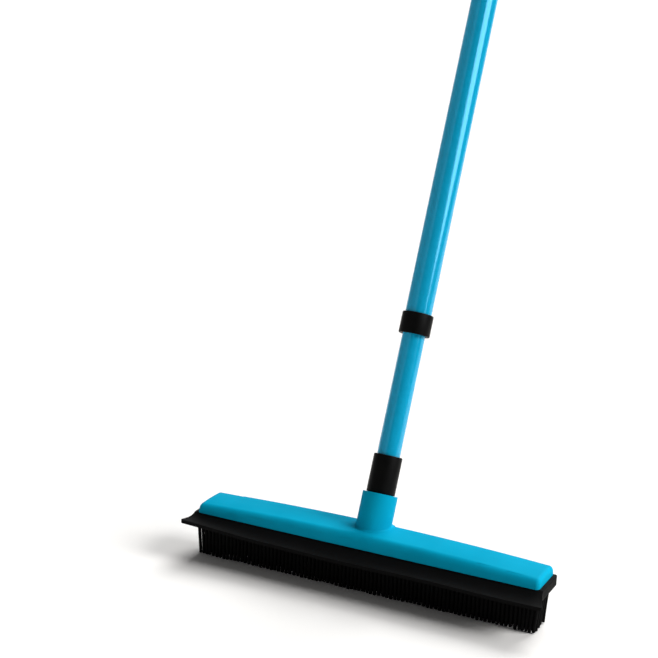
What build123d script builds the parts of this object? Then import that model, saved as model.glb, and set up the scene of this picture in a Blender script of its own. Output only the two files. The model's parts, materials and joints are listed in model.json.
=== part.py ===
from build123d import *
import math
import os

# Rubber carpet broom: a crowned plastic head on a rubber base with a squeegee lip and bristles,
# on a telescopic pole with a twist lock inside.
# Millimetres. The origin is the tip of the middle bristle, on the floor. +X runs along the head,
# the squeegee lip faces -Y, and the pole leans back towards +Y.

# Head shell
HEAD_LENGTH = 298.0
HEAD_DEPTH = 37.6
HEAD_CORNER_RADIUS = 3.4
HEAD_EDGE_RADIUS = 5.4
CROWN_HEIGHT = 11.8
CROWN_END_FALL = 4.0
CROWN_SIDE_FALL = 0.8
WALL_DRAFT = 4.0
SHELL_WALL = 2.4
HOLLOW_CORNER_RADIUS = 2.0
RIB_THICKNESS = 2.0
RIB_PITCH = 42.0

# Socket in the head
SOCKET_DIAMETER = 28.7
SOCKET_HEIGHT = 38.4
SOCKET_SETBACK = 2.06
SOCKET_BLEND_RADIUS = 3.0
SOCKET_BLEND_SINK = 0.15
SOCKET_BLEND_STEPS = 4
POLE_TILT = 23.3

# Rubber base with the squeegee lip
PLATE_THICKNESS = 8.1
PLATE_END_LEDGE = 3.2
PLATE_REAR_INSET = 1.8
PLATE_CORNER_RADIUS = 1.5
LAND_HEIGHT = 2.4
LIP_ROOT_SETBACK = 1.6
LIP_REACH = 14.2
LIP_DROP = 6.5
LIP_TIP_THICKNESS = 3.0
LIP_SAG = 1.3
LIP_END_FLARE = 5.0
LIP_CORNER_RADIUS = 1.5

# Bristles
BRISTLE_LENGTH = 28.8
BRISTLE_SIDES = 3
BRISTLE_ROOT = 3.0
BRISTLE_TIP = 2.6
ROW_PITCH = 5.3
COLUMN_PITCH = 3.46
FIELD_FRONT_MARGIN = 2.9
FIELD_REAR_MARGIN = 13.3
FIELD_END_MARGIN = 3.2
BACKING_THICKNESS = 2.0
BACKING_MARGIN = 0.6

# Ferrule on the lower tube
THREAD_DIAMETER = 21.4
THREAD_LENGTH = 26.0
THREAD_CORE_DIAMETER = 14.0
FERRULE_DIAMETER = 23.4
FERRULE_LENGTH = 31.1
FERRULE_FLOOR = 5.0
FERRULE_EDGE = 0.8

# Tubes and collar
LOWER_TUBE_DIAMETER = 19.0
LOWER_TUBE_LENGTH = 605.0
UPPER_TUBE_DIAMETER = 22.0
UPPER_TUBE_LENGTH = 650.0
TUBE_WALL = 0.5
TUBE_SHOWN = 100.2
COLLAR_DIAMETER = 25.8
COLLAR_LENGTH = 17.6
COLLAR_LIP = 4.0
COLLAR_EDGE = 0.5

# Hanging cap
CAP_DIAMETER = 24.0
CAP_PLUG_LENGTH = 22.0
CAP_BASE_HEIGHT = 9.0
CAP_HEIGHT = 36.0
CAP_TIP_RADIUS = 9.5
CAP_TAB_THICKNESS = 10.0
CAP_EDGE = 0.7
HANG_HOLE_DIAMETER = 10.0
HANG_HOLE_HEIGHT = 23.0

# Twist lock
PLUG_LENGTH = 24.0
PLUG_FLANGE = 4.0
CONE_LENGTH = 5.0
CONE_BASE_DIAMETER = 16.0
CONE_TOP_DIAMETER = 13.0
STUD_DIAMETER = 6.0
STUD_IN_PLUG = 18.0
EXPANDER_LENGTH = 17.0
EXPANDER_SLITS = 4
SLIT_WIDTH = 2.0
SLIT_LENGTH = 12.0
STOP_TRAVEL = 2.0
WASHER_DIAMETER = 12.0
WASHER_THICKNESS = 1.2
NUT_ACROSS_FLATS = 10.0
NUT_THICKNESS = 5.0
STUD_END = 2.0

# Clearances
SLIDE_CLEARANCE = 0.10
THREAD_CLEARANCE = 0.10
BOND_CLEARANCE = 0.05
SEAT_GAP = 0.3

# Heights and places that follow
plate_bottom = BRISTLE_LENGTH
plate_top = plate_bottom + PLATE_THICKNESS
field_depth = HEAD_DEPTH - FIELD_FRONT_MARGIN - FIELD_REAR_MARGIN
head_front = -(FIELD_FRONT_MARGIN + field_depth / 2)
head_middle = head_front + HEAD_DEPTH / 2
head_rear = head_front + HEAD_DEPTH
plate_length = HEAD_LENGTH + 2 * PLATE_END_LEDGE
plate_rear = head_rear - PLATE_REAR_INSET
land_top = plate_top + LAND_HEIGHT
inside_floor = land_top + SEAT_GAP

# Places along the pole, from the top of the rubber plate
pole_frame = Pos(0, head_middle + SOCKET_SETBACK, plate_top) * Rot(-POLE_TILT, 0, 0)
ferrule_base = SOCKET_HEIGHT + SEAT_GAP
ferrule_top = ferrule_base + FERRULE_LENGTH
lower_tube_base = ferrule_base + FERRULE_FLOOR
lower_tube_top = lower_tube_base + LOWER_TUBE_LENGTH
collar_base = ferrule_top + TUBE_SHOWN
upper_tube_base = collar_base + COLLAR_LIP
upper_tube_top = upper_tube_base + UPPER_TUBE_LENGTH
flange_top = lower_tube_top + PLUG_FLANGE
cone_top = flange_top + CONE_LENGTH
expander_base = flange_top + SEAT_GAP
expander_top = expander_base + EXPANDER_LENGTH
washer_base = expander_top + STOP_TRAVEL
nut_base = washer_base + WASHER_THICKNESS
stud_base = lower_tube_top - STUD_IN_PLUG
stud_top = nut_base + NUT_THICKNESS + STUD_END

# Radii that follow
lower_tube_bore = LOWER_TUBE_DIAMETER / 2 - TUBE_WALL
upper_tube_bore = UPPER_TUBE_DIAMETER / 2 - TUBE_WALL
guided_radius = upper_tube_bore - SLIDE_CLEARANCE


def ring(radius, bore, base, top):
    """A straight ring on the pole axis, from base to top."""
    outside = Cylinder(radius, top - base, align=(Align.CENTER, Align.CENTER, Align.MIN))
    inside = Cylinder(bore, top - base, align=(Align.CENTER, Align.CENTER, Align.MIN))
    return Pos(0, 0, base) * (outside - inside)


def rod(radius, base, top):
    """A straight rod on the pole axis, from base to top."""
    return Pos(0, 0, base) * Cylinder(radius, top - base, align=(Align.CENTER, Align.CENTER, Align.MIN))


def turned(points):
    """A solid turned about the pole axis from a closed outline of (radius, height) points."""
    outline = make_face(Polyline(*points, close=True))
    return revolve(Plane.XZ * outline, Axis.Z)


def space_above(height):
    """Everything over the head from one height up."""
    block = Box(HEAD_LENGTH, 4 * HEAD_DEPTH, 2 * SOCKET_HEIGHT, align=(Align.CENTER, Align.CENTER, Align.MIN))
    return Pos(0, head_middle, height) * block


def rounded_section():
    """The head's cross-section: drafted sides under a slightly arched top, with rounded shoulders."""
    top = plate_top + CROWN_HEIGHT
    shoulder = top - CROWN_SIDE_FALL
    foot = plate_top - CROWN_END_FALL
    draft = math.tan(math.radians(WALL_DRAFT))
    drawn_in = draft * (shoulder - plate_top)
    spread = draft * (plate_top - foot)
    arch = ThreePointArc(
        (head_front + drawn_in, shoulder), (head_middle, top), (head_rear - drawn_in, shoulder)
    )
    sides = Polyline(
        (head_rear - drawn_in, shoulder),
        (head_rear + spread, foot),
        (head_front - spread, foot),
        (head_front + drawn_in, shoulder),
    )
    section = make_face(arch + sides)
    return fillet(section.vertices().group_by(Axis.Y)[-1], HEAD_EDGE_RADIUS)


def make_crown():
    """The outside of the head: its section carried along a shallow arch, with drafted and rounded ends."""
    half_length = HEAD_LENGTH / 2
    arch_radius = (half_length**2 + CROWN_END_FALL**2) / (2 * CROWN_END_FALL)
    half_angle = math.degrees(math.asin((half_length + HEAD_EDGE_RADIUS) / arch_radius))
    arch_axis = Axis((0, 0, plate_top + CROWN_HEIGHT - arch_radius), (0, 1, 0))
    bar = revolve(Plane.YZ * rounded_section(), arch_axis, revolution_arc=2 * half_angle)
    bar = bar.rotate(arch_axis, -half_angle)
    between_ends = Pos(0, head_middle, plate_top) * Rectangle(HEAD_LENGTH, 3 * HEAD_DEPTH)
    crown = bar & extrude(between_ends, 2 * CROWN_HEIGHT, taper=WALL_DRAFT)
    rims = []
    for end in (crown.faces().sort_by(Axis.X)[0], crown.faces().sort_by(Axis.X)[-1]):
        rims += end.edges().sort_by(Axis.Z)[1:]
    return fillet(rims, HEAD_CORNER_RADIUS)


def make_flare():
    """The concave skirt that leads the top of the crown into the leaning socket."""
    level = CROWN_HEIGHT - CROWN_SIDE_FALL
    lean = math.radians(POLE_TILT)
    across = SOCKET_DIAMETER / 2
    along = across / math.cos(lean)
    rings = []
    for step in range(SOCKET_BLEND_STEPS + 1):
        turn = math.radians(90 * step / SOCKET_BLEND_STEPS)
        height = level + SOCKET_BLEND_RADIUS * (1 - math.cos(turn))
        spread = SOCKET_BLEND_RADIUS * (1 - math.sin(turn)) - SOCKET_BLEND_SINK
        middle = Pos(0, head_middle + SOCKET_SETBACK + height * math.tan(lean), plate_top + height)
        rings.append(middle * Ellipse(across + spread, along + spread))
    skirt = loft(rings) + extrude(rings[0], -HEAD_EDGE_RADIUS)
    over_head = Pos(0, head_middle, plate_top) * Rectangle(HEAD_LENGTH, HEAD_DEPTH - SHELL_WALL)
    return skirt & extrude(over_head, 2 * CROWN_HEIGHT, taper=WALL_DRAFT)


def make_hollow():
    """The space inside the shell, one wall in from the outside and arched along the head."""
    mouth = RectangleRounded(
        HEAD_LENGTH - 2 * SHELL_WALL, HEAD_DEPTH - 2 * SHELL_WALL, HOLLOW_CORNER_RADIUS
    )
    space = extrude(Pos(0, head_middle, plate_top) * mouth, 2 * CROWN_HEIGHT, taper=WALL_DRAFT)
    half_length = HEAD_LENGTH / 2
    ceiling = plate_top + CROWN_HEIGHT - CROWN_SIDE_FALL - SHELL_WALL
    low = ceiling - CROWN_END_FALL
    arch = ThreePointArc((-half_length, low), (0, ceiling), (half_length, low))
    floor = Polyline((half_length, low), (half_length, plate_top), (-half_length, plate_top), (-half_length, low))
    under_arch = extrude(Plane.XZ * make_face(arch + floor), 2 * HEAD_DEPTH, both=True)
    return space & under_arch


def make_ribs():
    """One rib along the hollow and a row of ribs across it, from the ceiling down to the rubber's land."""
    rib_height = 2 * CROWN_HEIGHT
    long_rib = Box(HEAD_LENGTH, RIB_THICKNESS, rib_height, align=(Align.CENTER, Align.CENTER, Align.MIN))
    cross_rib = Box(RIB_THICKNESS, HEAD_DEPTH, rib_height, align=(Align.CENTER, Align.CENTER, Align.MIN))
    ribs = [Pos(0, head_middle, inside_floor) * long_rib]
    bays_each_side = int(HEAD_LENGTH / 2 / RIB_PITCH)
    for bay in range(bays_each_side):
        for side in (-1, 1):
            ribs.append(Pos(side * (bay + 0.5) * RIB_PITCH, head_middle, inside_floor) * cross_rib)
    return ribs


def make_head_shell():
    """The crowned head, hollow and ribbed below, with the leaning socket blended into it."""
    socket = pole_frame * rod(SOCKET_DIAMETER / 2, -SOCKET_DIAMETER, SOCKET_HEIGHT)
    socket = socket & space_above(inside_floor)
    body = make_crown() + [make_flare(), socket]
    hollow = make_hollow() - [socket] - make_ribs()
    bore_radius = THREAD_DIAMETER / 2 + THREAD_CLEARANCE
    bore = pole_frame * rod(bore_radius, ferrule_base - THREAD_LENGTH - 2 * SEAT_GAP, 2 * SOCKET_HEIGHT)
    return body - hollow - bore


def make_rubber_base():
    """The rubber plate with its squeegee lip, a land that fits inside the shell and a bristle pocket."""
    lip_root = head_front + LIP_ROOT_SETBACK
    tip = head_front - LIP_REACH
    tip_top = plate_top - LIP_DROP
    tip_bottom = tip_top - LIP_TIP_THICKNESS
    lip_middle = ((lip_root + tip) / 2, (plate_top + tip_top) / 2 - LIP_SAG)
    lip_under = ((head_front + tip) / 2, (plate_bottom + tip_bottom) / 2 + LIP_SAG / 2)
    upper = ThreePointArc((lip_root, plate_top), lip_middle, (tip, tip_top))
    edge = Line((tip, tip_top), (tip, tip_bottom))
    under = ThreePointArc((tip, tip_bottom), lip_under, (head_front, plate_bottom))
    plate = Polyline(
        (head_front, plate_bottom), (plate_rear, plate_bottom), (plate_rear, plate_top), (lip_root, plate_top)
    )
    section = Plane.YZ * make_face(upper + edge + under + plate)
    strip = extrude(section, plate_length, both=True)

    plate_end = plate_length / 2
    lip_end = plate_end + LIP_END_FLARE
    outline = make_face(
        Polyline(
            (-plate_end, plate_rear),
            (-plate_end, head_front),
            (-lip_end, tip),
            (lip_end, tip),
            (plate_end, head_front),
            (plate_end, plate_rear),
            close=True,
        )
    )
    outline = fillet(outline.vertices().group_by(Axis.Y)[0], LIP_CORNER_RADIUS)
    outline = fillet(outline.vertices().group_by(Axis.Y)[-1], PLATE_CORNER_RADIUS)
    base = strip & extrude(outline, 2 * plate_top)

    land_inset = SHELL_WALL + BOND_CLEARANCE
    land_face = RectangleRounded(
        HEAD_LENGTH - 2 * land_inset, HEAD_DEPTH - 2 * land_inset, HOLLOW_CORNER_RADIUS - BOND_CLEARANCE
    )
    land = extrude(Pos(0, head_middle, plate_top) * land_face, LAND_HEIGHT, taper=WALL_DRAFT)
    pocket = Pos(0, 0, plate_bottom) * backing_block(BOND_CLEARANCE)
    return base + land - pocket


def bristle_places():
    """Rows and columns of bristles on the floor plan, with one bristle in the middle of the length."""
    rows = int(field_depth / ROW_PITCH) + 1
    half_columns = int((plate_length / 2 - FIELD_END_MARGIN) / COLUMN_PITCH)
    places = []
    for row in range(rows):
        y = (row - (rows - 1) / 2) * ROW_PITCH
        for column in range(-half_columns, half_columns + 1):
            places.append((column * COLUMN_PITCH, y))
    return places


def backing_block(grown):
    """The slice of backing under the whole field of bristles, grown all round."""
    places = bristle_places()
    margin = BRISTLE_ROOT / 2 + BACKING_MARGIN + grown
    half_length = max(x for x, y in places) + margin
    half_depth = max(y for x, y in places) + margin
    return Box(
        2 * half_length, 2 * half_depth, BACKING_THICKNESS + grown, align=(Align.CENTER, Align.CENTER, Align.MIN)
    )


def make_bristles():
    """Three-sided tapered rubber bristles with a flat side to the front, fused to one slice of their backing."""
    height = plate_bottom + BACKING_THICKNESS / 2
    drawn_in = (BRISTLE_ROOT - BRISTLE_TIP) / 2 * math.cos(math.pi / BRISTLE_SIDES)
    taper = math.degrees(math.atan(drawn_in / height))
    root = RegularPolygon(BRISTLE_ROOT / 2, BRISTLE_SIDES, rotation=-90)
    bristle = Pos(0, 0, height) * Rot(180, 0, 0) * extrude(root, height, taper=taper)
    backing = Pos(0, 0, plate_bottom) * backing_block(0)
    return backing + [Pos(x, y, 0) * bristle for x, y in bristle_places()]


def make_ferrule():
    """The threaded end fitting: a cored spigot below a shoulder, and a sleeve round the tube."""
    spigot = THREAD_DIAMETER / 2
    core = THREAD_CORE_DIAMETER / 2
    sleeve_bore = LOWER_TUBE_DIAMETER / 2 + BOND_CLEARANCE
    outside = FERRULE_DIAMETER / 2
    spigot_end = ferrule_base - THREAD_LENGTH
    return turned(
        [
            (core, spigot_end),
            (spigot, spigot_end),
            (spigot, ferrule_base),
            (outside, ferrule_base),
            (outside, ferrule_top - FERRULE_EDGE),
            (outside - FERRULE_EDGE, ferrule_top),
            (sleeve_bore, ferrule_top),
            (sleeve_bore, lower_tube_base),
            (core, lower_tube_base),
        ]
    )


def make_collar():
    """The guide collar: a lip that runs on the lower tube below a seat for the upper tube's end."""
    outside = COLLAR_DIAMETER / 2
    guide = LOWER_TUBE_DIAMETER / 2 + SLIDE_CLEARANCE
    seat = UPPER_TUBE_DIAMETER / 2 + BOND_CLEARANCE
    collar_top = collar_base + COLLAR_LENGTH
    return turned(
        [
            (guide, collar_base),
            (outside - COLLAR_EDGE, collar_base),
            (outside, collar_base + COLLAR_EDGE),
            (outside, collar_top - COLLAR_EDGE),
            (outside - COLLAR_EDGE, collar_top),
            (seat, collar_top),
            (seat, upper_tube_base),
            (guide, upper_tube_base),
        ]
    )


def make_hang_cap():
    """The end cap: a plug in the tube under a flange, and a rounded tab round the hanging hole."""
    plug = upper_tube_bore - BOND_CLEARANCE
    outside = CAP_DIAMETER / 2
    plug_end = upper_tube_top - CAP_PLUG_LENGTH
    base_top = upper_tube_top + CAP_BASE_HEIGHT
    base = turned(
        [
            (0, plug_end),
            (plug, plug_end),
            (plug, upper_tube_top),
            (outside, upper_tube_top),
            (outside, base_top - CAP_EDGE),
            (outside - CAP_EDGE, base_top),
            (0, base_top),
        ]
    )
    tab_foot = base_top - CAP_EDGE
    tab_half = CAP_TAB_THICKNESS / 2
    shoulder = math.sqrt((outside - CAP_EDGE) ** 2 - tab_half**2)
    dome_base = upper_tube_top + CAP_HEIGHT - CAP_TIP_RADIUS
    sides = Polyline(
        (-CAP_TIP_RADIUS, dome_base), (-shoulder, tab_foot), (shoulder, tab_foot), (CAP_TIP_RADIUS, dome_base)
    )
    dome = CenterArc((0, dome_base), CAP_TIP_RADIUS, 0, 180)
    tab = extrude(Plane.YZ * make_face(sides + dome), tab_half, both=True)
    hole = Rot(0, 90, 0) * Cylinder(HANG_HOLE_DIAMETER / 2, 2 * CAP_DIAMETER)
    return base + tab - Pos(0, 0, upper_tube_top + HANG_HOLE_HEIGHT) * hole


def make_lock_plug():
    """The plug in the lower tube's upper end, with a guide flange and the cone that spreads the expander."""
    plug = lower_tube_bore - BOND_CLEARANCE
    hole = STUD_DIAMETER / 2 + BOND_CLEARANCE
    return turned(
        [
            (hole, lower_tube_top - PLUG_LENGTH),
            (plug, lower_tube_top - PLUG_LENGTH),
            (plug, lower_tube_top),
            (guided_radius, lower_tube_top),
            (guided_radius, flange_top),
            (CONE_BASE_DIAMETER / 2, flange_top),
            (CONE_TOP_DIAMETER / 2, cone_top),
            (hole, cone_top),
        ]
    )


def make_lock_expander():
    """The split sleeve round the cone, running in the upper tube and threaded on the stud."""
    hole = STUD_DIAMETER / 2 + THREAD_CLEARANCE
    sleeve = turned(
        [
            (CONE_BASE_DIAMETER / 2 + SLIDE_CLEARANCE, expander_base),
            (guided_radius, expander_base),
            (guided_radius, expander_top),
            (hole, expander_top),
            (hole, cone_top + SEAT_GAP),
            (CONE_TOP_DIAMETER / 2 + SLIDE_CLEARANCE, cone_top + SEAT_GAP),
        ]
    )
    slit = Box(UPPER_TUBE_DIAMETER, SLIT_WIDTH, SLIT_LENGTH, align=(Align.MIN, Align.CENTER, Align.MIN))
    slit = Pos(STUD_DIAMETER / 2 + SLIT_WIDTH, 0, expander_base) * slit
    return sleeve - [Rot(0, 0, 360 * place / EXPANDER_SLITS) * slit for place in range(EXPANDER_SLITS)]


def make_stop_nut():
    """A hexagon nut that holds the washer on the stud."""
    hexagon = RegularPolygon(NUT_ACROSS_FLATS / 2, 6, major_radius=False)
    body = extrude(Pos(0, 0, nut_base) * hexagon, NUT_THICKNESS)
    return body - rod(STUD_DIAMETER / 2 + BOND_CLEARANCE, nut_base, nut_base + NUT_THICKNESS)


def on_pole(piece):
    """A piece made on an upright axis, leaned back with the pole."""
    return pole_frame * piece


nodes = {
    "head_shell": make_head_shell(),
    "rubber_base": make_rubber_base(),
    "bristles": make_bristles(),
    "ferrule": on_pole(make_ferrule()),
    "lower_tube": on_pole(ring(LOWER_TUBE_DIAMETER / 2, lower_tube_bore, lower_tube_base, lower_tube_top)),
    "lock_plug": on_pole(make_lock_plug()),
    "lock_stud": on_pole(rod(STUD_DIAMETER / 2, stud_base, stud_top)),
    "lock_expander": on_pole(make_lock_expander()),
    "stop_washer": on_pole(
        ring(WASHER_DIAMETER / 2, STUD_DIAMETER / 2 + BOND_CLEARANCE, washer_base, nut_base)
    ),
    "stop_nut": on_pole(make_stop_nut()),
    "upper_tube": on_pole(ring(UPPER_TUBE_DIAMETER / 2, upper_tube_bore, upper_tube_base, upper_tube_top)),
    "collar": on_pole(make_collar()),
    "hang_cap": on_pole(make_hang_cap()),
}

os.makedirs("parts", exist_ok=True)
for name, solid in nodes.items():
    export_step(solid, f"parts/{name}.step")
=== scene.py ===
import json
import math
import random

import bmesh
import bpy
from mathutils import Matrix, Vector


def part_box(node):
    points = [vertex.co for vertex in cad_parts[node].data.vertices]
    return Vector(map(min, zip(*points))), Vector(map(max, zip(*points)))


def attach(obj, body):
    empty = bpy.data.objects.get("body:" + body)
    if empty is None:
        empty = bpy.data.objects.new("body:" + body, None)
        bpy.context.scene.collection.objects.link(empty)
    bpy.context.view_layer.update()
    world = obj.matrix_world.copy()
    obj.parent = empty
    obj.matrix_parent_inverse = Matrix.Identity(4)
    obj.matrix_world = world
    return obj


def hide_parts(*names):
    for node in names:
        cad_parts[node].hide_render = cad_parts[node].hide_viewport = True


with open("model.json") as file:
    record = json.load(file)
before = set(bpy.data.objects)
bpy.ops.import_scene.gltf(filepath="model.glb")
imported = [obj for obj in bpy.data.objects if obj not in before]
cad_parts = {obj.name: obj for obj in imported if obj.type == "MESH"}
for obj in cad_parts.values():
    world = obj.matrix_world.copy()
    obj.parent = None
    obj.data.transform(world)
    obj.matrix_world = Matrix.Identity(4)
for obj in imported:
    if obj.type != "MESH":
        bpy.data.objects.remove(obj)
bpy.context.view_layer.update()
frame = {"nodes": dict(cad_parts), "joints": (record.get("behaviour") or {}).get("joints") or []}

# Lengths are in metres and angles in degrees
MM = 0.001

# Camera: where it stands round the broom, what it looks at, and its lens and sensor in millimetres
CAMERA_AZIMUTH = 25.61
CAMERA_ELEVATION = 15.19
CAMERA_ROLL = 2.33
CAMERA_DISTANCE = 1213.7 * MM
CAMERA_NEAR = 0.05
CAMERA_FAR = 120.0
CAMERA_LENS = 85.91
SENSOR_WIDTH = 36.0
AIM_ACROSS = -39.32 * MM
AIM_DEPTH = 5.2 * MM
AIM_HEIGHT = 212.13 * MM

# Rubber base with the squeegee lip
PLATE_END_LEDGE = 3.2 * MM
PLATE_CORNER_RADIUS = 1.5 * MM
LAND_INSET = 2.5 * MM
POCKET_CLEARANCE = 0.05 * MM
LIP_ROOT_SETBACK = 1.6 * MM
LIP_DROP = 6.5 * MM
LIP_TIP_THICKNESS = 3.0 * MM
LIP_SAG = 1.3 * MM
LIP_UNDER_RISE = 0.65 * MM
LIP_END_FLARE = 5.0 * MM
LIP_CORNER_RADIUS = 1.5 * MM
LIP_CURL_START = 75.0 * MM
LIP_CURL_END = 160.0 * MM
LIP_CURL_RISE = 3.7 * MM
LIP_WAVE_HEIGHT = 0.35 * MM
LIP_WAVE_LENGTH = 134.0 * MM
LIP_WAVE_LOW = -10.0 * MM

# Mesh of the rubber base: how close its points stand at edges and steps, and how many stations it has
EDGE_SUPPORT = 0.5 * MM
STEP_WIDTH = 0.4 * MM
LENGTH_STATIONS = 81
LIP_CORNER_SWEEP = 105
LIP_CORNER_STATIONS = 8
LIP_STATIONS = 7
PLATE_STATIONS = 9
REAR_CORNER_STATIONS = 6
SMOOTHING_LEVELS = 1

# Bristles
BACKING_THICKNESS = 2.0 * MM
BACKING_MARGIN = 2.1 * MM
ROW_PITCH = 5.3 * MM
COLUMN_PITCH = 3.46 * MM
BRISTLE_ROOT_RADIUS = 1.4 * MM
BRISTLE_TIP_RADIUS = 1.3 * MM
BRISTLE_TIP_ROUNDING = 0.4 * MM
BRISTLE_FLARE = 0.15 * MM
BRISTLE_FLARE_HEIGHT = 3.0 * MM
BRISTLE_SHORTFALL = 0.9 * MM
BRISTLE_END_LEAN = 2.2 * MM
BRISTLE_END_COLUMNS = 5
BRISTLE_SIDES = 10
BRISTLE_SEED = 11

# Lean of the bristles: slanting clumps of them lean alike, and each one strays a little from its clump
BRISTLE_LEAN = 0.45 * MM
BRISTLE_STRAY = 0.6
CLUMP_WIDTH = 6.0 * MM
CLUMP_SLANT_SIDEWAYS = 5
CLUMP_SLANT_DEPTH = -3

# Rings of one bristle, as shares of its flare and of its shaft, and as angles round the edge of its tip
FLARE_RINGS = (0.3, 0.6, 1.0)
SHAFT_RINGS = (0.35, 0.7, 1.0)
TIP_RINGS = (45, 80)

# Fittings on the pole
THREAD_LENGTH = 26.0 * MM
THREAD_RADIUS = 10.7 * MM
THREAD_CORE_RADIUS = 7.0 * MM
THREAD_PITCH = 4.0 * MM
THREAD_DEPTH = 1.4 * MM
THREAD_TOLERANCE = 0.01 * MM
THREAD_ROWS = 78
FERRULE_RADIUS = 11.7 * MM
FERRULE_BORE = 9.55 * MM
FERRULE_FLOOR = 5.0 * MM
COLLAR_RADIUS = 12.9 * MM
COLLAR_GUIDE = 9.6 * MM
COLLAR_SEAT = 11.05 * MM
COLLAR_LIP = 4.0 * MM
FITTING_EDGE = 0.6 * MM
LATHE_SEGMENTS = 96
CORNER_STEPS = 4

# Where the two flanks of the thread's groove lie, as shares of its pitch
GROOVE_NEAR_FLANK = (0.15, 0.4)
GROOVE_FAR_FLANK = (0.6, 0.85)

# Noise values mostly lie between these
NOISE_LOW = 0.3
NOISE_HIGH = 0.7

# Stage: the floor, the light from all round, and how far off the suns stand
FLOOR_REACH = 40.0
FLOOR_GAP = 0.2 * MM
FLOOR_COLOUR = (1.0, 0.985, 0.965, 1.0)
WORLD_LIGHT = 0.14
SUN_DISTANCE = 3.0
WHITE = (1.0, 1.0, 1.0, 1.0)
BLACK = (0.0, 0.0, 0.0, 1.0)

# Cards that the gloss of the pole mirrors: azimuth of their two sides, and brightness
CARD_DISTANCE = 4.0
CARD_TOP = 52
CARDS = {
    "left_card": (-125, -36, 0.3),
    "pale_card": (-36, -8, 0.42),
    "front_card": (-8, 66, 0.04),
    "right_card": (66, 150, 0.04),
}

# Softbox that makes the streak on the pole, with the azimuth and elevation of its corners
SOFTBOX_DISTANCE = 2.8
SOFTBOX_CORNERS = ((60, 38.5), (82, 16.5), (104, 15.5), (104, 45), (60, 50))
SOFTBOX_BRIGHTNESS = 5.0

# Places that follow from the CAD boxes
head_low, head_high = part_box("head_shell")
rubber_low, rubber_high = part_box("rubber_base")
field_low, field_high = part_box("bristles")
head_front = head_low.y
plate_top = head_low.z
plate_bottom = field_high.z - BACKING_THICKNESS
plate_end = head_high.x + PLATE_END_LEDGE
rear_turn = rubber_high.y - PLATE_CORNER_RADIUS
lip_tip = rubber_low.y
lip_turn = lip_tip + LIP_CORNER_RADIUS
lip_root = head_front + LIP_ROOT_SETBACK
lip_slope = LIP_END_FLARE / (head_front - lip_tip)
land_end = head_high.x - LAND_INSET
land_front = head_front + LAND_INSET
pocket_end = field_high.x + POCKET_CLEARANCE
pocket_front = field_low.y - POCKET_CLEARANCE
pocket_rear = field_high.y + POCKET_CLEARANCE

# The line of the pole, and two directions square to it
joints = {joint["name"]: joint for joint in frame["joints"]}
pole_axis = Vector(joints["telescope"]["axis"]).normalized()
pole_point = Vector(joints["lock_twist"]["pos_m"])
pole_lean = math.atan2(pole_axis.y, pole_axis.z)
pole_side = Vector((1, 0, 0))
pole_back = pole_axis.cross(pole_side)


def smoothstep(low, high, value):
    """0 below low, 1 above high, with a smooth rise between them."""
    share = min(max((value - low) / (high - low), 0.0), 1.0)
    return share * share * (3 - 2 * share)


def arch(share):
    """A parabola that is 0 at both ends and 1 in the middle."""
    return 4 * share * (1 - share)


def spread(low, high, count):
    """Evenly spaced values from low to high."""
    return [low + (high - low) * step / (count - 1) for step in range(count)]


def new_object(name, points, faces):
    """A smooth mesh object from points and faces, with its faces turned outwards."""
    mesh = bpy.data.meshes.new(name)
    mesh.from_pydata(points, [], faces)
    shell = bmesh.new()
    shell.from_mesh(mesh)
    bmesh.ops.recalc_face_normals(shell, faces=shell.faces)
    shell.to_mesh(mesh)
    shell.free()
    mesh.shade_smooth()
    made = bpy.data.objects.new(name, mesh)
    bpy.context.scene.collection.objects.link(made)
    return made


# Materials


def new_material(name):
    """A material and its shader."""
    material = bpy.data.materials.new(name)
    material.use_nodes = True
    return material, material.node_tree.nodes["Principled BSDF"]


def object_place(tree, stretch=(1.0, 1.0, 1.0), turn=(0.0, 0.0, 0.0)):
    """Object coordinates, turned and stretched for a pattern."""
    coordinates = tree.nodes.new("ShaderNodeTexCoord")
    mapping = tree.nodes.new("ShaderNodeMapping")
    mapping.vector_type = "TEXTURE"
    mapping.inputs["Rotation"].default_value = turn
    mapping.inputs["Scale"].default_value = stretch
    tree.links.new(coordinates.outputs["Object"], mapping.inputs["Vector"])
    return mapping.outputs["Vector"]


def noise(tree, place, scale, detail=3.0, roughness=0.5):
    """A noise pattern of a given fineness."""
    pattern = tree.nodes.new("ShaderNodeTexNoise")
    pattern.inputs["Scale"].default_value = scale
    pattern.inputs["Detail"].default_value = detail
    pattern.inputs["Roughness"].default_value = roughness
    tree.links.new(place, pattern.inputs["Vector"])
    return pattern.outputs["Fac"]


def remap(tree, value, low, high):
    """A noise value carried to a range."""
    node = tree.nodes.new("ShaderNodeMapRange")
    node.inputs["From Min"].default_value = NOISE_LOW
    node.inputs["From Max"].default_value = NOISE_HIGH
    node.inputs["To Min"].default_value = low
    node.inputs["To Max"].default_value = high
    tree.links.new(value, node.inputs["Value"])
    return node.outputs["Result"]


def colour(tree, shader, value, dark, light):
    """A base colour that runs from dark to light with a noise value."""
    node = tree.nodes.new("ShaderNodeMix")
    node.data_type = "RGBA"
    node.inputs["A"].default_value = (*dark, 1.0)
    node.inputs["B"].default_value = (*light, 1.0)
    tree.links.new(remap(tree, value, low=0.0, high=1.0), node.inputs["Factor"])
    tree.links.new(node.outputs["Result"], shader.inputs["Base Color"])


def gloss(tree, shader, value, low, high):
    """A roughness that runs from low to high with a noise value."""
    tree.links.new(remap(tree, value, low, high), shader.inputs["Roughness"])


def relief(tree, shader, value, depth, strength):
    """Fine relief on the shader's normal, from a noise value."""
    node = tree.nodes.new("ShaderNodeBump")
    node.inputs["Distance"].default_value = depth
    node.inputs["Strength"].default_value = strength
    tree.links.new(value, node.inputs["Height"])
    tree.links.new(node.outputs["Normal"], shader.inputs["Normal"])


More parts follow.
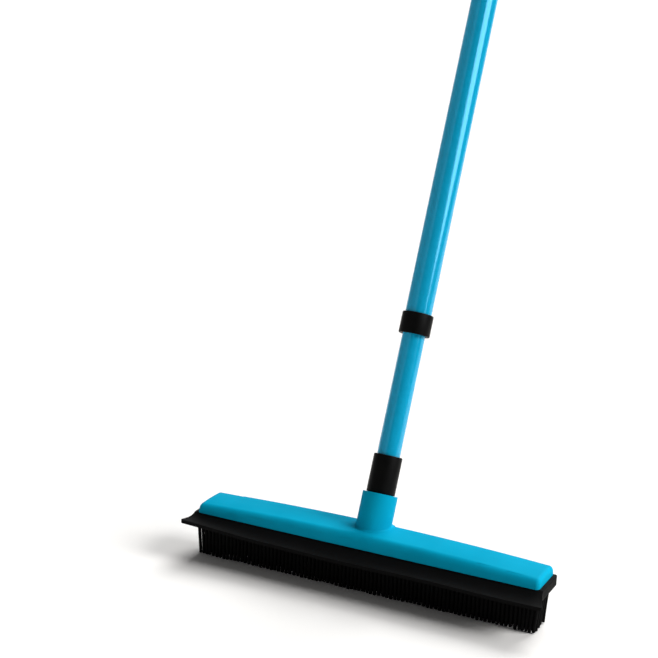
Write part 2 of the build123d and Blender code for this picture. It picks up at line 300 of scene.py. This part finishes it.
def moulded_blue():
    """Satin blue plastic with the faint flow marks of moulding."""
    material, shader = new_material("moulded_blue")
    tree = material.node_tree
    place = object_place(tree)
    flow = noise(tree, place, scale=28.0, detail=2.0)
    grain = noise(tree, place, scale=1900.0, detail=2.0)
    colour(tree, shader, flow, dark=(0.001, 0.364, 0.572), light=(0.003, 0.405, 0.630))
    gloss(tree, shader, grain, low=0.42, high=0.52)
    relief(tree, shader, grain, depth=0.05 * MM, strength=0.25)
    shader.inputs["Specular IOR Level"].default_value = 0.008
    return material


def painted_blue():
    """Gloss blue paint on drawn tube, with faint marks along it."""
    material, shader = new_material("painted_blue")
    tree = material.node_tree
    along_tube = object_place(tree, stretch=(1.0, 1.0, 40.0), turn=(pole_lean, 0.0, 0.0))
    streaks = noise(tree, along_tube, scale=420.0)
    peel = noise(tree, object_place(tree), scale=600.0, detail=1.0)
    colour(tree, shader, streaks, dark=(0.002, 0.398, 0.666), light=(0.004, 0.432, 0.725))
    gloss(tree, shader, streaks, low=0.12, high=0.17)
    relief(tree, shader, peel, depth=0.02 * MM, strength=0.2)
    shader.inputs["Specular IOR Level"].default_value = 0.5
    shader.inputs["Metallic"].default_value = 0.13
    return material


def moulded_black():
    """Satin black plastic with a fine moulded grain."""
    material, shader = new_material("moulded_black")
    tree = material.node_tree
    place = object_place(tree)
    haze = noise(tree, place, scale=60.0, detail=2.0)
    grain = noise(tree, place, scale=1600.0)
    colour(tree, shader, haze, dark=(0.002, 0.002, 0.002), light=(0.004, 0.004, 0.004))
    gloss(tree, shader, grain, low=0.36, high=0.50)
    relief(tree, shader, grain, depth=0.06 * MM, strength=0.35)
    shader.inputs["Specular IOR Level"].default_value = 0.055
    return material


def matte_rubber():
    """Matte black rubber, slightly dusty."""
    material, shader = new_material("matte_rubber")
    tree = material.node_tree
    place = object_place(tree)
    dust = noise(tree, place, scale=90.0, detail=4.0, roughness=0.6)
    grain = noise(tree, place, scale=1400.0, detail=2.0)
    colour(tree, shader, dust, dark=(0.002, 0.002, 0.002), light=(0.004, 0.0039, 0.0039))
    gloss(tree, shader, dust, low=0.55, high=0.72)
    relief(tree, shader, grain, depth=0.05 * MM, strength=0.3)
    shader.inputs["Specular IOR Level"].default_value = 0.04
    return material


def natural_nylon():
    """Milky nylon of the lock pieces."""
    material, shader = new_material("natural_nylon")
    tree = material.node_tree
    clouds = noise(tree, object_place(tree), scale=120.0, detail=2.0)
    colour(tree, shader, clouds, dark=(0.62, 0.61, 0.56), light=(0.70, 0.69, 0.65))
    gloss(tree, shader, clouds, low=0.40, high=0.52)
    return material


def zinc_steel():
    """Zinc plated steel with fine scratches."""
    material, shader = new_material("zinc_steel")
    tree = material.node_tree
    scratches = noise(tree, object_place(tree, stretch=(1.0, 1.0, 7.0)), scale=1500.0)
    colour(tree, shader, scratches, dark=(0.50, 0.50, 0.51), light=(0.64, 0.64, 0.63))
    gloss(tree, shader, scratches, low=0.24, high=0.40)
    shader.inputs["Metallic"].default_value = 1.0
    return material


# The rubber base with its squeegee lip


def half_chord(radius, offset):
    """Half the width of a circle at a distance from its centre."""
    return math.sqrt(max(radius**2 - offset**2, 0))


def rubber_end(y):
    """Half the rubber's length at a depth y: rounded lip corner, slanted lip end, rounded rear corner."""
    if y > rear_turn:
        return plate_end - PLATE_CORNER_RADIUS + half_chord(PLATE_CORNER_RADIUS, y - rear_turn)
    slant = math.hypot(1, lip_slope)
    if y < lip_turn + LIP_CORNER_RADIUS * lip_slope / slant:
        turn_x = plate_end + LIP_END_FLARE - LIP_CORNER_RADIUS * (slant + lip_slope)
        return turn_x + half_chord(LIP_CORNER_RADIUS, y - lip_turn)
    return plate_end + lip_slope * max(head_front - y, 0)


def lip_bend(x, y):
    """How far the lip is lifted: its left end curls up, and the whole lip waves a little."""
    out = smoothstep(0, head_front - lip_tip, head_front - y)
    curl = LIP_CURL_RISE * smoothstep(LIP_CURL_START, LIP_CURL_END, -x)
    wave = -LIP_WAVE_HEIGHT * math.cos(2 * math.pi * (x - LIP_WAVE_LOW) / LIP_WAVE_LENGTH)
    return out * (curl + wave)


def rubber_top(y):
    """Height of the upper side before it is bent: flat plate, then the hollow slope of the lip."""
    share = max((lip_root - y) / (lip_root - lip_tip), 0)
    return plate_top - LIP_DROP * share - LIP_SAG * arch(share)


def rubber_under(y):
    """Height of the underside before it is bent: flat plate, then the slightly hollow slope of the lip."""
    share = max((head_front - y) / (head_front - lip_tip), 0)
    fall = plate_bottom - (plate_top - LIP_DROP - LIP_TIP_THICKNESS)
    return plate_bottom - fall * share + LIP_UNDER_RISE * arch(share)


def both_sides(edge):
    """Two stations close together, one each side of a step."""
    return [edge - STEP_WIDTH / 2, edge + STEP_WIDTH / 2]


def stations_across():
    """Depths from the lip's tip to the plate's rear, close together at the corners and steps."""
    lip_angles = [math.radians(angle) for angle in spread(0, LIP_CORNER_SWEEP, LIP_CORNER_STATIONS)]
    rear_angles = [math.radians(angle) for angle in spread(0, 90, REAR_CORNER_STATIONS)]
    across = [lip_turn - LIP_CORNER_RADIUS * math.cos(angle) for angle in lip_angles]
    across += spread(across[-1], lip_root, LIP_STATIONS)[1:]
    across += spread(lip_root, rear_turn, PLATE_STATIONS)[1:]
    across += [rear_turn + PLATE_CORNER_RADIUS * math.sin(angle) for angle in rear_angles[1:]]
    for edge in (pocket_front, pocket_rear, land_front):
        across += both_sides(edge)
    return sorted(across)


def stations_along():
    """Places along the rubber as shares of its half length, close together at the ends and steps."""
    along = spread(-1, 1, LENGTH_STATIONS)
    along += [-1 + EDGE_SUPPORT / plate_end, 1 - EDGE_SUPPORT / plate_end]
    for edge in (pocket_end, land_end):
        along += [side * station / plate_end for station in both_sides(edge) for side in (-1, 1)]
    return sorted(along)


def skin_points(along, across):
    """Points of the upper skin, with its land inside the head, and of the lower skin, with its pocket."""
    upper = []
    lower = []
    for share in along:
        reach = abs(share) * plate_end
        for y in across:
            x = share * rubber_end(y)
            bend = lip_bend(x, y)
            on_land = reach < land_end and land_front < y < rear_turn
            in_pocket = reach < pocket_end and pocket_front < y < pocket_rear
            top = rubber_high.z if on_land else rubber_top(y)
            under = field_high.z + POCKET_CLEARANCE if in_pocket else rubber_under(y)
            upper.append((x, y, top + bend))
            lower.append((x, y, under + bend))
    return upper + lower


def skin_faces(rows, columns):
    """Faces of the upper skin, and of the lower skin, whose points follow the upper one's."""
    below = rows * columns
    faces = []
    for row in range(rows - 1):
        for column in range(columns - 1):
            corner = row * columns + column
            quad = (corner, corner + 1, corner + columns + 1, corner + columns)
            faces.append(quad)
            faces.append(tuple(index + below for index in reversed(quad)))
    return faces


def skin_rim(rows, columns):
    """The points round the edge of a skin, in order."""
    rim = list(range(columns))
    rim += [row * columns + columns - 1 for row in range(1, rows)]
    rim += [(rows - 1) * columns + column for column in range(columns - 2, -1, -1)]
    rim += [row * columns for row in range(rows - 2, 0, -1)]
    return rim


def close_skins(points, faces, rim, below):
    """Adds the wall between the two skins, with points near its edges that keep them crisp."""
    posts = []
    for index in rim:
        x, y, top = points[index]
        under = points[index + below][2]
        posts.append((index, len(points), len(points) + 1, index + below))
        points.append((x, y, top - EDGE_SUPPORT))
        points.append((x, y, under + EDGE_SUPPORT))
    for step, here in enumerate(posts):
        there = posts[(step + 1) % len(posts)]
        for level in range(len(here) - 1):
            faces.append((here[level], there[level], there[level + 1], here[level + 1]))


def make_rubber_base():
    """The plate, its land inside the head, the pocket for the bristles and the lip, as one closed skin."""
    along = stations_along()
    across = stations_across()
    rows, columns = len(along), len(across)
    points = skin_points(along, across)
    faces = skin_faces(rows, columns)
    close_skins(points, faces, skin_rim(rows, columns), rows * columns)
    made = new_object("squeegee_base", points, faces)
    smoothing = made.modifiers.new("rounded_edges", "SUBSURF")
    smoothing.levels = SMOOTHING_LEVELS
    smoothing.render_levels = SMOOTHING_LEVELS
    return made


# The bristles


def bristle_places():
    """Rows and columns of bristles over the field, as the CAD solid has them."""
    first_y, last_y = field_low.y + BACKING_MARGIN, field_high.y - BACKING_MARGIN
    rows = round((last_y - first_y) / ROW_PITCH) + 1
    half_columns = round((field_high.x - BACKING_MARGIN) / COLUMN_PITCH)
    for y in spread(first_y, last_y, rows):
        for column in range(-half_columns, half_columns + 1):
            yield column * COLUMN_PITCH, y


def bristle_rings(tip):
    """Heights and radii of one bristle from inside the backing down to the edge of its blunt tip."""
    flared = BRISTLE_ROOT_RADIUS + BRISTLE_FLARE
    rings = [(plate_bottom + BACKING_THICKNESS / 2, flared), (plate_bottom, flared)]
    for share in FLARE_RINGS:
        radius = flared - BRISTLE_FLARE * math.sin(share * math.pi / 2)
        rings.append((plate_bottom - share * BRISTLE_FLARE_HEIGHT, radius))
    shaft_top = plate_bottom - BRISTLE_FLARE_HEIGHT
    shaft_end = tip + BRISTLE_TIP_ROUNDING
    for share in SHAFT_RINGS:
        radius = BRISTLE_ROOT_RADIUS + (BRISTLE_TIP_RADIUS - BRISTLE_ROOT_RADIUS) * share
        rings.append((shaft_top + (shaft_end - shaft_top) * share, radius))
    flat_radius = BRISTLE_TIP_RADIUS - BRISTLE_TIP_ROUNDING
    for angle in TIP_RINGS:
        turn = math.radians(angle)
        radius = flat_radius + BRISTLE_TIP_ROUNDING * math.cos(turn)
        rings.append((shaft_end - BRISTLE_TIP_ROUNDING * math.sin(turn), radius))
    return rings


def stray(draw):
    """A bristle's own share of its lean."""
    return draw.uniform(-BRISTLE_STRAY, BRISTLE_STRAY)


def add_bristle(points, faces, x, y, draw):
    """One tapered bristle with its own small lean and length, which leans in near the field's ends."""
    tip = draw.uniform(0, BRISTLE_SHORTFALL)
    lean_x = BRISTLE_LEAN * (math.sin((x + CLUMP_SLANT_SIDEWAYS * y) / CLUMP_WIDTH) + stray(draw))
    lean_y = BRISTLE_LEAN * (math.cos((x + CLUMP_SLANT_DEPTH * y) / CLUMP_WIDTH) + stray(draw))
    last_place = field_high.x - BACKING_MARGIN
    near_end = smoothstep(last_place - BRISTLE_END_COLUMNS * COLUMN_PITCH, last_place, abs(x))
    lean_in = math.copysign(BRISTLE_END_LEAN * near_end, -x)
    first = len(points)
    rings = bristle_rings(tip)
    for height, radius in rings:
        drop = max(plate_bottom - height, 0) / plate_bottom
        middle_x = x + lean_in * drop + lean_x * drop**2
        middle_y = y + lean_y * drop**2
        for side in range(BRISTLE_SIDES):
            turn = 2 * math.pi * side / BRISTLE_SIDES
            points.append((middle_x + radius * math.cos(turn), middle_y + radius * math.sin(turn), height))
    for ring in range(len(rings) - 1):
        here = first + ring * BRISTLE_SIDES
        there = here + BRISTLE_SIDES
        for side in range(BRISTLE_SIDES):
            after = (side + 1) % BRISTLE_SIDES
            faces.append((here + side, here + after, there + after, there + side))
    faces.append(tuple(first + side for side in range(BRISTLE_SIDES)))
    tip_middle = len(points)
    points.append((x + lean_in + lean_x, y + lean_y, tip))
    last = first + (len(rings) - 1) * BRISTLE_SIDES
    for side in range(BRISTLE_SIDES):
        faces.append((last + side, last + (side + 1) % BRISTLE_SIDES, tip_middle))


def make_bristles():
    """The field of rubber bristles on its backing."""
    draw = random.Random(BRISTLE_SEED)
    corners = [
        (field_low.x, field_low.y),
        (field_high.x, field_low.y),
        (field_high.x, field_high.y),
        (field_low.x, field_high.y),
    ]
    points = [(x, y, z) for z in (plate_bottom, field_high.z) for x, y in corners]
    faces = [(0, 1, 2, 3), (4, 5, 6, 7)]
    faces += [(side, (side + 1) % 4, 4 + (side + 1) % 4, 4 + side) for side in range(4)]
    for x, y in bristle_places():
        add_bristle(points, faces, x, y, draw)
    return new_object("bristle_field", points, faces)


# Fittings on the pole


def along_pole(node):
    """Lowest and highest place of a CAD node along the pole."""
    vertices = frame["nodes"][node].data.vertices
    places = [(vertex.co - pole_point).dot(pole_axis) for vertex in vertices]
    return min(places), max(places)


def rounded_outline(corners, radius):
    """A closed outline of (radius, height) corners, each rounded within a third of its sides."""
    outline = []
    for index, corner in enumerate(corners):
        here = Vector(corner)
        before = Vector(corners[index - 1]) - here
        after = Vector(corners[(index + 1) % len(corners)]) - here
        reach = min(radius, before.length / 3, after.length / 3)
        start = here + before.normalized() * reach
        end = here + after.normalized() * reach
        for share in spread(0, 1, CORNER_STEPS):
            outline.append(start * (1 - share) ** 2 + here * 2 * share * (1 - share) + end * share**2)
    return outline


def lathe(name, outline, cut=None):
    """A closed outline of (radius, height) points turned about the pole, with an optional helical cut."""
    points = []
    faces = []
    count = len(outline)
    for segment in range(LATHE_SEGMENTS):
        turn = 2 * math.pi * segment / LATHE_SEGMENTS
        out = pole_side * math.cos(turn) + pole_back * math.sin(turn)
        here = segment * count
        there = ((segment + 1) % LATHE_SEGMENTS) * count
        for radius, height in outline:
            depth = cut(turn, radius, height) if cut else 0
            points.append(pole_point + pole_axis * height + out * (radius - depth))
        for index in range(count):
            after = (index + 1) % count
            faces.append((here + index, here + after, there + after, there + index))
    return new_object(name, points, faces)


def make_ferrule():
    """The threaded end fitting with its sleeve round the lower tube."""
    low, high = along_pole("ferrule")
    shoulder = low + THREAD_LENGTH
    floor = shoulder + FERRULE_FLOOR
    foot = [
        (FERRULE_BORE, floor),
        (THREAD_CORE_RADIUS, floor),
        (THREAD_CORE_RADIUS, low),
        (THREAD_RADIUS, low),
    ]
    sleeve = [
        (THREAD_RADIUS, shoulder),
        (FERRULE_RADIUS, shoulder),
        (FERRULE_RADIUS, high),
        (FERRULE_BORE, high),
    ]
    outline = rounded_outline(foot + sleeve, FITTING_EDGE)
    split = len(foot) * CORNER_STEPS
    heights = spread(outline[split - 1].y, outline[split].y, THREAD_ROWS)[1:-1]
    outline[split:split] = [Vector((THREAD_RADIUS, height)) for height in heights]

    def thread(turn, radius, height):
        """Depth of the groove between the thread's turns, fading out at both ends."""
        if radius < THREAD_RADIUS - FITTING_EDGE or radius > THREAD_RADIUS + THREAD_TOLERANCE:
            return 0
        phase = (height / THREAD_PITCH - turn / (2 * math.pi)) % 1
        groove = smoothstep(*GROOVE_NEAR_FLANK, phase) - smoothstep(*GROOVE_FAR_FLANK, phase)
        low_fade = smoothstep(0, THREAD_PITCH / 2, height - low)
        high_fade = smoothstep(0, THREAD_PITCH / 2, shoulder - height)
        return THREAD_DEPTH * groove * low_fade * high_fade

    return lathe("threaded_ferrule", outline, thread)


def make_collar():
    """The guide collar at the lower end of the upper tube."""
    low, high = along_pole("collar")
    corners = [
        (COLLAR_GUIDE, low),
        (COLLAR_RADIUS, low),
        (COLLAR_RADIUS, high),
        (COLLAR_SEAT, high),
        (COLLAR_SEAT, low + COLLAR_LIP),
        (COLLAR_GUIDE, low + COLLAR_LIP),
    ]
    return lathe("guide_collar", rounded_outline(corners, FITTING_EDGE))


# Stage: floor, world, lights and camera


def make_floor():
    """A plain pale floor that carries the shadow and lights the broom from below."""
    reach = FLOOR_REACH
    points = [(-reach, -reach, 0), (reach, -reach, 0), (reach, reach, 0), (-reach, reach, 0)]
    floor = new_object("floor", points, [(0, 1, 2, 3)])
    floor.location.z = -FLOOR_GAP
    material, shader = new_material("pale_floor")
    shader.inputs["Base Color"].default_value = FLOOR_COLOUR
    shader.inputs["Roughness"].default_value = 1.0
    shader.inputs["Specular IOR Level"].default_value = 0.0
    floor.data.materials.append(material)


def make_world():
    """Dim light from all round, and plain white where it is seen past the floor or in a reflection."""
    world = bpy.data.worlds.new("studio")
    bpy.context.scene.world = world
    world.use_nodes = True
    tree = world.node_tree
    path = tree.nodes.new("ShaderNodeLightPath")
    looked_at = path.outputs["Is Camera Ray"]
    for ray in ("Is Glossy Ray", "Is Transmission Ray"):
        either = tree.nodes.new("ShaderNodeMath")
        either.operation = "MAXIMUM"
        tree.links.new(looked_at, either.inputs[0])
        tree.links.new(path.outputs[ray], either.inputs[1])
        looked_at = either.outputs["Value"]
    strength = tree.nodes.new("ShaderNodeMapRange")
    strength.inputs["To Min"].default_value = WORLD_LIGHT
    strength.inputs["To Max"].default_value = 1.0
    tree.links.new(looked_at, strength.inputs["Value"])
    background = tree.nodes["Background"]
    background.inputs["Color"].default_value = WHITE
    tree.links.new(strength.outputs["Result"], background.inputs["Strength"])


def towards(azimuth, elevation):
    """The direction to a place round the broom."""
    turn, rise = math.radians(azimuth), math.radians(elevation)
    return Vector((math.sin(turn) * math.cos(rise), -math.cos(turn) * math.cos(rise), math.sin(rise)))


def add_soft_sun(name, azimuth, elevation, spread_angle, brightness):
    """A wide soft light, even over the whole floor. At brightness 1, white that faces it looks white."""
    lamp = bpy.data.lights.new(name, "SUN")
    lamp.angle = math.radians(spread_angle)
    lamp.energy = math.pi * brightness
    back = towards(azimuth, elevation)
    light = bpy.data.objects.new(name, lamp)
    light.location = back * SUN_DISTANCE
    light.rotation_mode = "QUATERNION"
    light.rotation_quaternion = back.to_track_quat("Z", "Y")
    bpy.context.scene.collection.objects.link(light)


def add_reflected(name, corners, distance, brightness):
    """A panel that shows only in the gloss of the broom, with its corners given as azimuth and elevation."""
    points = [towards(*corner) * distance for corner in corners]
    panel = new_object(name, points, [tuple(range(len(points)))])
    material, shader = new_material(name)
    shader.inputs["Base Color"].default_value = BLACK
    shader.inputs["Specular IOR Level"].default_value = 0.0
    shader.inputs["Emission Color"].default_value = WHITE
    shader.inputs["Emission Strength"].default_value = brightness
    panel.data.materials.append(material)
    panel.visible_camera = False
    panel.visible_diffuse = False
    panel.visible_shadow = False


def make_reflections():
    """What the gloss of the pole mirrors: grey cards left, dark ones in front and right, and a softbox."""
    for name, (start, end, brightness) in CARDS.items():
        corners = [(start, 0), (end, 0), (end, CARD_TOP), (start, CARD_TOP)]
        add_reflected(name, corners, CARD_DISTANCE, brightness)
    add_reflected("softbox", SOFTBOX_CORNERS, SOFTBOX_DISTANCE, SOFTBOX_BRIGHTNESS)


def make_camera():
    """The camera at the photograph's angle."""
    roll = math.radians(CAMERA_ROLL)
    back = towards(CAMERA_AZIMUTH, CAMERA_ELEVATION)
    level = towards(CAMERA_AZIMUTH + 90, 0)
    right = level * math.cos(roll) + back.cross(level) * math.sin(roll)
    up = back.cross(right)
    aim = level * AIM_ACROSS + Vector((0, AIM_DEPTH, AIM_HEIGHT))
    lens = bpy.data.cameras.new("camera")
    lens.lens = CAMERA_LENS
    lens.sensor_width = SENSOR_WIDTH
    lens.clip_start = CAMERA_NEAR
    lens.clip_end = CAMERA_FAR
    camera = bpy.data.objects.new("camera", lens)
    turned = Matrix((right, up, back)).transposed().to_4x4()
    camera.matrix_world = Matrix.Translation(aim + back * CAMERA_DISTANCE) @ turned
    bpy.context.scene.collection.objects.link(camera)
    bpy.context.scene.camera = camera


# CAD nodes that show their own solids get their finish
blue_plastic = moulded_blue()
blue_paint = painted_blue()
black_plastic = moulded_black()
black_rubber = matte_rubber()
nylon = natural_nylon()
steel = zinc_steel()
finishes = {
    "head_shell": blue_plastic,
    "lower_tube": blue_paint,
    "upper_tube": blue_paint,
    "hang_cap": black_plastic,
    "lock_plug": nylon,
    "lock_expander": nylon,
    "lock_stud": steel,
    "stop_washer": steel,
    "stop_nut": steel,
}
for node, finish in finishes.items():
    frame["nodes"][node].material_slots[0].material = finish

# Modelled pieces ride on their bodies and replace their CAD nodes
pieces = [
    (make_rubber_base(), "head", "rubber_base", "black_rubber", black_rubber),
    (make_bristles(), "head", "bristles", "black_rubber", black_rubber),
    (make_ferrule(), "lower_pole", "ferrule", "black_plastic", black_plastic),
    (make_collar(), "upper_pole", "collar", "black_plastic", black_plastic),
]
for piece, body, node, slot, finish in pieces:
    piece.data.materials.append(finish)
    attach(piece, body)
    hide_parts(node)

make_floor()
make_world()
add_soft_sun("key", azimuth=173, elevation=44, spread_angle=34, brightness=0.74)
add_soft_sun("side", azimuth=102, elevation=36, spread_angle=28, brightness=0.80)
make_reflections()
make_camera()
bpy.context.scene.view_settings.view_transform = "Standard"
